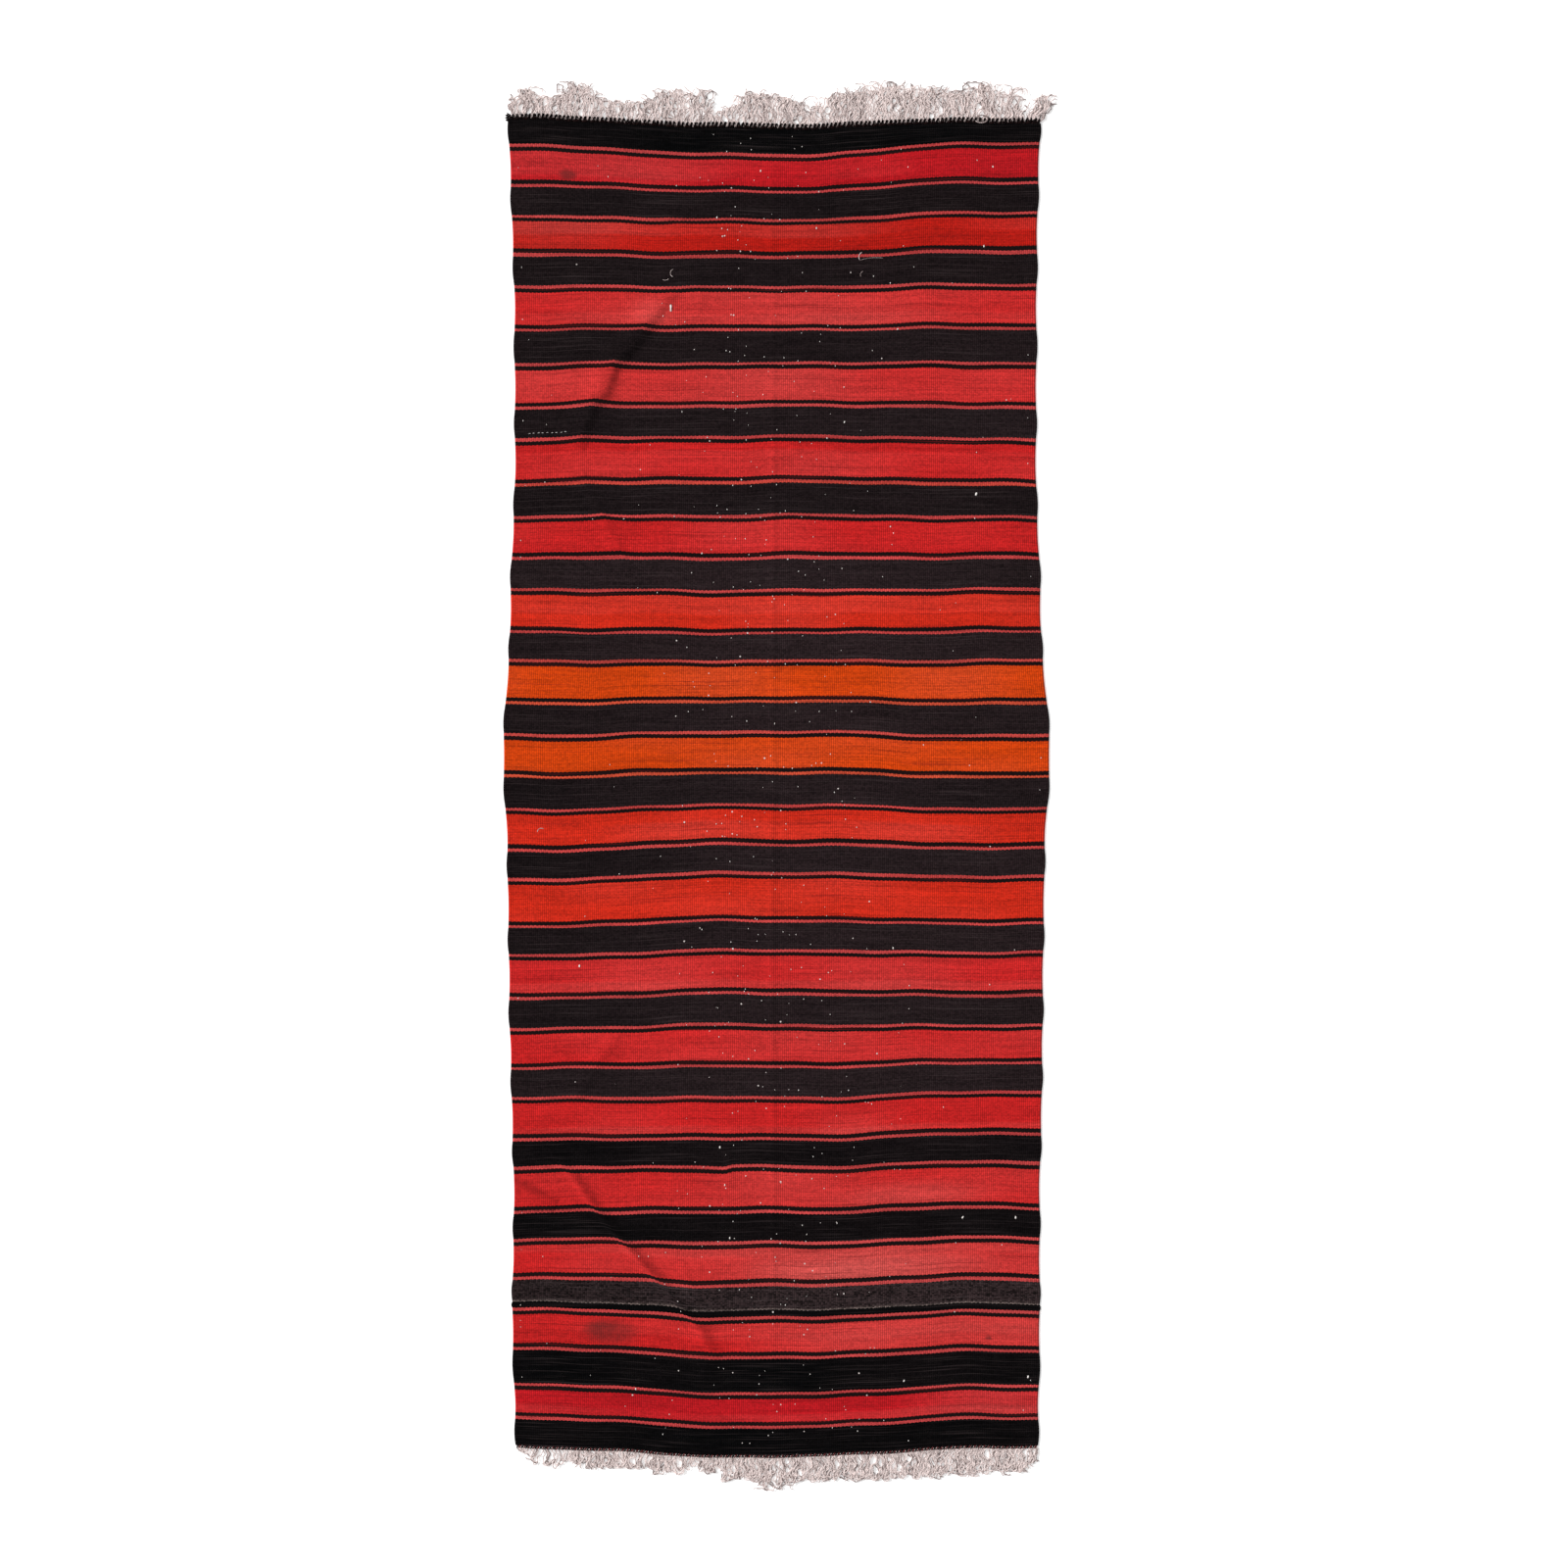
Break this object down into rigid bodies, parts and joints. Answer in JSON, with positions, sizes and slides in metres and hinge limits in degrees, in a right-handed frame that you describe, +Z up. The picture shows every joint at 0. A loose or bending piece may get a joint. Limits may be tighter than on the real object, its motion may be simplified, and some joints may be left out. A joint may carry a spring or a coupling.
{
  "type": "runner rug",
  "caption": "Long flat-woven floor runner with dark and red cross stripes, thin pinstripes and a free cotton fringe at both ends.",
  "frame": {"origin": "middle of the underside of the whole runner, fringes included", "axes": "+X across the runner, +Y along it towards the overcast end, +Z up from the floor"},
  "size_m": [1.0586, 2.6516, 0.0036],
  "materials": {
    "dark_wool": "undyed and iron-dyed black-brown sheep's wool, hard spun, packed weft-faced, matt",
    "red_wool": "red-dyed wool weft with streaks of uneven dye, matt with a faint sheen",
    "orange_wool": "orange-dyed wool weft with streaks of uneven dye, matt with a faint sheen",
    "heather_wool": "mixed brown and grey undyed wool weft, matt",
    "black_wool": "black-dyed wool weft, matt",
    "cotton": "plied cotton warp string, off-white and slightly soiled, matt",
    "stitching": "dark wool thread, overcast at one end and twined at the other, matt"
  },
  "bodies": {
    "root": {"overcast_edge": "stitching", "selvedge_warps_left": "cotton", "selvedge_warps_right": "cotton", "twined_edge": "stitching", "warps_01": "cotton", "warps_02": "cotton", "warps_03": "cotton", "warps_04": "cotton", "warps_05": "cotton", "warps_06": "cotton", "warps_07": "cotton", "warps_08": "cotton", "warps_09": "cotton", "warps_10": "cotton", "warps_11": "cotton", "warps_12": "cotton", "weft_01_dark": "dark_wool", "weft_02_red": "red_wool", "weft_03_dark": "dark_wool", "weft_04_red": "red_wool", "weft_05_dark": "dark_wool", "weft_06_red": "red_wool", "weft_07_dark": "dark_wool", "weft_08_red": "red_wool", "weft_09_dark": "dark_wool", "weft_10_red": "red_wool", "weft_11_dark": "dark_wool", "weft_12_red": "red_wool", "weft_13_dark": "dark_wool", "weft_14_red": "red_wool", "weft_15_dark": "dark_wool", "weft_16_orange": "orange_wool", "weft_17_dark": "dark_wool", "weft_18_orange": "orange_wool", "weft_19_dark": "dark_wool", "weft_20_red": "red_wool", "weft_21_dark": "dark_wool", "weft_22_red": "red_wool", "weft_23_dark": "dark_wool", "weft_24_red": "red_wool", "weft_25_dark": "dark_wool", "weft_26_red": "red_wool", "weft_27_dark": "dark_wool", "weft_28_red": "red_wool", "weft_29_dark": "dark_wool", "weft_30_red": "red_wool", "weft_31_dark": "dark_wool", "weft_32_red": "red_wool", "weft_33_heather": "heather_wool", "weft_34_black": "black_wool", "weft_35_red": "red_wool", "weft_36_dark": "dark_wool", "weft_37_red": "red_wool", "weft_38_dark": "dark_wool"}
  },
  "joints": []
}
